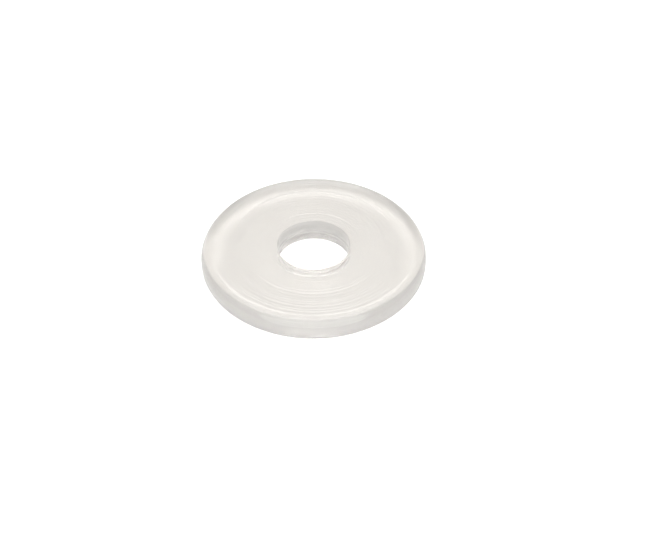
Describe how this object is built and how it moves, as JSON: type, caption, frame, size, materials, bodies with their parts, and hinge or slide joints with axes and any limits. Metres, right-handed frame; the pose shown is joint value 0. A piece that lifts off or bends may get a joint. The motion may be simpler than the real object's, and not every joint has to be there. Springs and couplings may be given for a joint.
{
  "type": "flat washer",
  "caption": "Thick extra-large flat washer of milky natural nylon: round bore, broad flat faces and a rounded outer edge, wider at the top.",
  "frame": {"origin": "centre of the bore at the washer's lower face, which it lies on", "axes": "+Z along the bore axis, from the lower face to the upper face with the wide rounded edge; X and Y lie in the lower face"},
  "size_m": [0.028, 0.028, 0.003],
  "materials": {
    "natural_nylon": "milky translucent natural nylon with a satin face that carries fine concentric turning rings"
  },
  "bodies": {
    "root": {"washer": "natural_nylon"}
  },
  "joints": []
}
